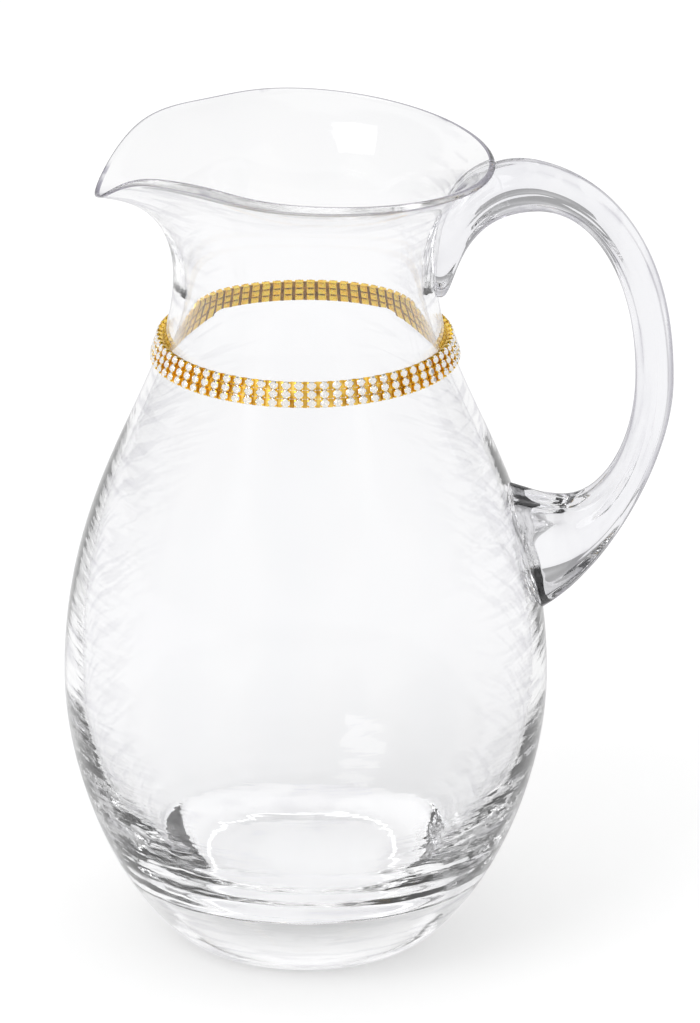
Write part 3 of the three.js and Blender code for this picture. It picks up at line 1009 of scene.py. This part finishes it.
def floor_material():
    material, tree, shader = new_material("floor")
    shader.inputs["Base Color"].default_value = (*FLOOR_GREY, 1)
    shader.inputs["Roughness"].default_value = 1
    shader.inputs["Specular IOR Level"].default_value = 0
    shader.inputs["Emission Color"].default_value = (1, 1, 1, 1)
    camera, mirrored, through = ray_kinds(tree)
    # Painted pool of light: the floor glows brighter under the glass, for rays seen through the glass
    under = between(tree, radius_of(tree), UNDER_END, UNDER_FULL)
    lit = math_node(tree, "ADD", math_node(tree, "MULTIPLY", under, PAINTED_POOL_GLOW), GLASS_GLOW)
    to_glass = math_node(tree, "MULTIPLY", math_node(tree, "MAXIMUM", mirrored, through), lit)
    to_camera = math_node(tree, "MULTIPLY", camera, FLOOR_GLOW)
    tree.links.new(math_node(tree, "MAXIMUM", to_glass, to_camera), shader.inputs["Emission Strength"])
    return material


def build_world():
    """White for the camera and mirrored rays, a room with cards through the glass, and a dome of light."""
    world = bpy.data.worlds.new("studio")
    bpy.context.scene.world = world
    world.use_nodes = True
    tree = world.node_tree
    back = tree.nodes["Background"]
    where = node(tree, "ShaderNodeTexCoord").outputs["Generated"]
    parts = node(tree, "ShaderNodeSeparateXYZ")
    tree.links.new(where, parts.inputs[0])
    rise = node(tree, "ShaderNodeMapRange", interpolation_type="SMOOTHSTEP")
    rise.inputs["From Max"].default_value = HORIZON_TOP
    rise.inputs["To Min"].default_value = HORIZON_LEVEL
    tree.links.new(parts.outputs["Z"], rise.inputs["Value"])
    room = rise.outputs["Result"]
    for direction, half_angle, softness, darkness in CARDS:
        facing = node(tree, "ShaderNodeVectorMath", operation="DOT_PRODUCT")
        facing.inputs[1].default_value = Vector(direction).normalized()
        tree.links.new(where, facing.inputs[0])
        card = node(tree, "ShaderNodeMapRange", interpolation_type="SMOOTHSTEP")
        card.inputs["From Min"].default_value = math.cos(math.radians(half_angle + softness))
        card.inputs["From Max"].default_value = math.cos(math.radians(half_angle))
        card.inputs["To Min"].default_value = 1
        card.inputs["To Max"].default_value = 1 - darkness
        tree.links.new(facing.outputs["Value"], card.inputs["Value"])
        room = math_node(tree, "MULTIPLY", room, card.outputs["Result"])
    camera, mirrored, through = ray_kinds(tree)
    level = node(tree, "ShaderNodeMix", data_type="FLOAT")
    first, second = MIX_VALUES
    level.inputs[first].default_value = DOME_LEVEL
    tree.links.new(through, level.inputs[MIX_FACTOR])
    tree.links.new(room, level.inputs[second])
    white = math_node(tree, "MAXIMUM", camera, mirrored)
    tree.links.new(math_node(tree, "MAXIMUM", level.outputs[0], white), back.inputs["Strength"])
    back.inputs["Color"].default_value = (1, 1, 1, 1)


def build_lamp(name, place, aim, size, power):
    lamp = bpy.data.lights.new(name, "AREA")
    lamp.shape = "SQUARE"
    lamp.size = size
    lamp.energy = power
    holder = bpy.data.objects.new(name, lamp)
    holder.location = place
    holder.rotation_euler = (Vector(aim) - Vector(place)).to_track_quat("-Z", "Y").to_euler()
    bpy.context.scene.collection.objects.link(holder)


def build_camera():
    data = bpy.data.cameras.new("camera")
    data.sensor_width = SENSOR
    data.lens = SENSOR * FOCAL_PIXELS / PHOTO_HEIGHT
    data.clip_end = CLIP_END
    camera = bpy.data.objects.new("camera", data)
    back = Vector((0, -math.cos(CAMERA_ELEVATION), math.sin(CAMERA_ELEVATION)))
    camera.location = (Vector(CAMERA_PIVOT) + back * CAMERA_DISTANCE) * MM
    sight = Vector(CAMERA_AIM) * MM - camera.location
    camera.rotation_euler = sight.to_track_quat("-Z", "Y").to_euler()
    bpy.context.scene.collection.objects.link(camera)
    bpy.context.scene.camera = camera


scene = bpy.context.scene
scene.view_settings.view_transform = "Standard"
scene.cycles.max_bounces = BOUNCES
scene.cycles.transmission_bounces = BOUNCES
scene.cycles.glossy_bounces = BOUNCES
scene.cycles.transparent_max_bounces = CLEAR_BOUNCES

build_glass(
    glass_material("crystal", WALL_TINT, WALL_EDGE, WALL_LINE, WALL_STREAKS, RING_SHARE),
    glass_material("crystal_rim", WALL_TINT, RIM_EDGE, RIM_LINE, RIM_STREAKS, 0),
    glass_material("crystal_bar", BAR_TINT, BAR_EDGE, BAR_LINE, BAR_STREAKS, 0),
    weld_material(),
)
build_band(
    gilt_material(),
    strap_material("shaded_bronze", SHADED_BRONZE_TINT),
    strap_material("painted_gap_shade", GAP_SHADE_TINT),
    stone_material(),
    foil_material(),
)
build_floor()
build_world()
build_lamp("key", KEY_PLACE, KEY_AIM, KEY_SIZE, KEY_POWER)
build_camera()
